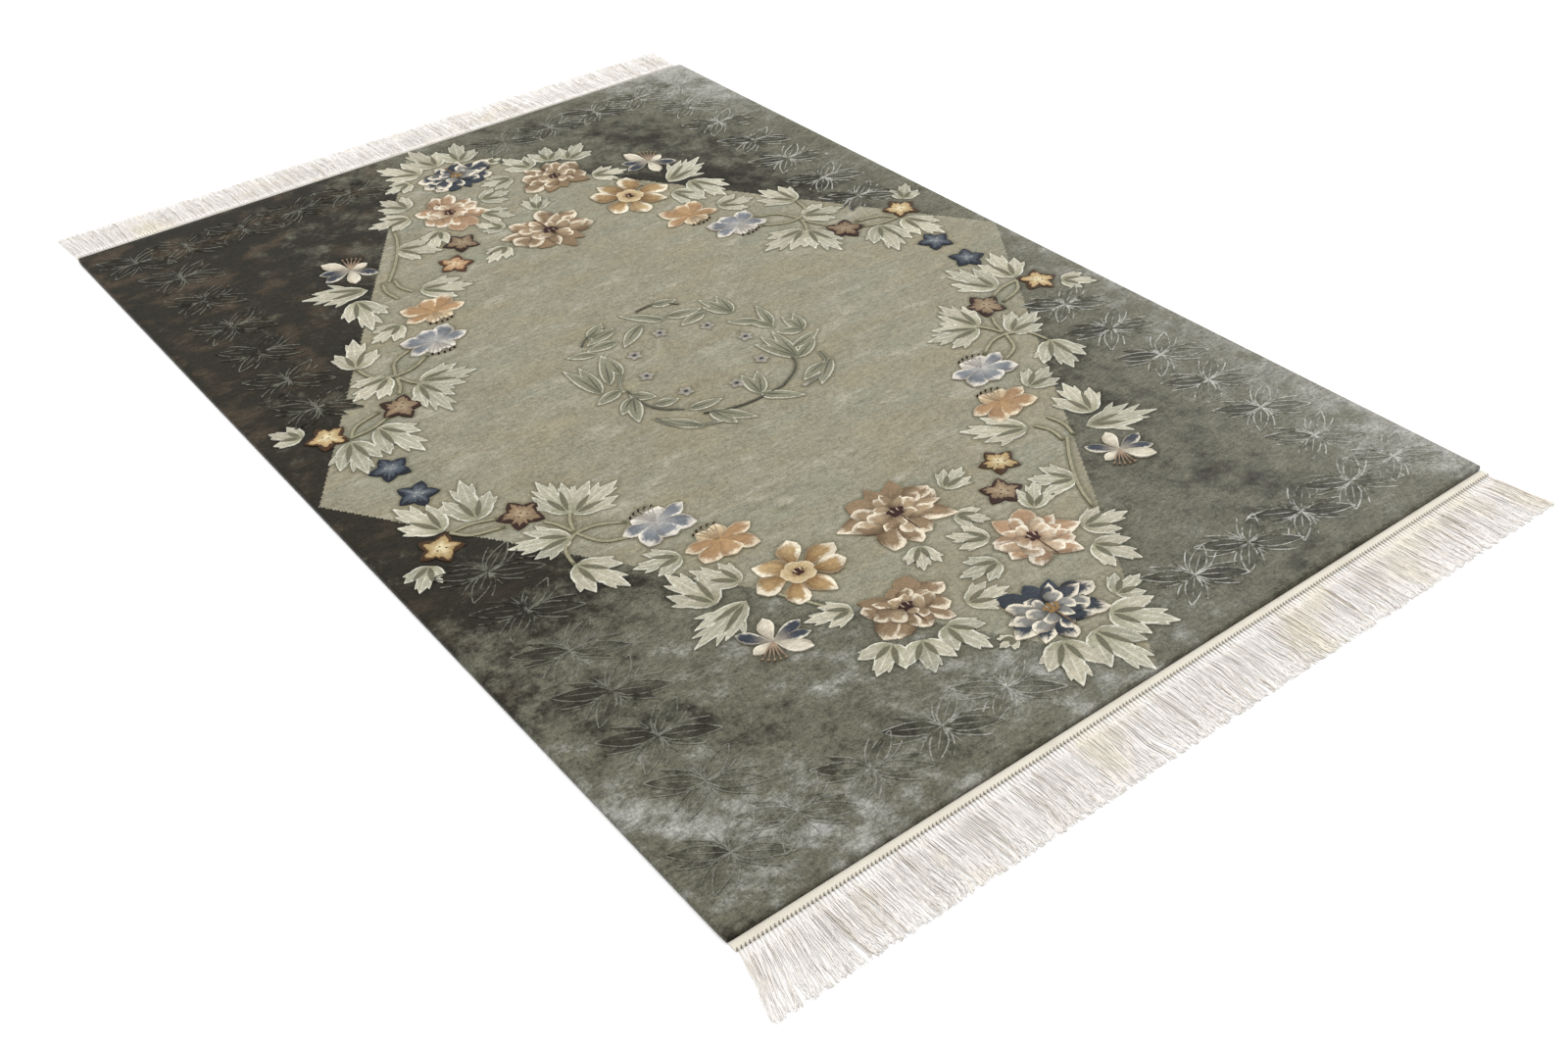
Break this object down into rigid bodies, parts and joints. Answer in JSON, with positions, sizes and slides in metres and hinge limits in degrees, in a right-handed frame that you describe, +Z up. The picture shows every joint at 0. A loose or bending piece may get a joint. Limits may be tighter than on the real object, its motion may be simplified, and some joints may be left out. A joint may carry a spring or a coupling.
{
  "type": "chinese silk rug",
  "caption": "Flat rectangular hand-knotted silk pile rug, carved round its flower design, with a woven band and a knotted fringe at each short end.",
  "frame": {"origin": "on the floor, under the centre of the rug", "axes": "+X across the rug; +Y along its length, from the near fringe to the far one; +Z up, out of the pile"},
  "size_m": [1.22, 2.0285, 0.0097],
  "materials": {
    "pile_silk": "satin cut silk pile, dark sage-grey field with a pale sage lozenge and coloured flowers",
    "fringe_cotton": "matt ivory cotton yarn"
  },
  "bodies": {
    "root": {"pile": "pile_silk", "near_fringe": "fringe_cotton", "far_fringe": "fringe_cotton"}
  },
  "joints": []
}
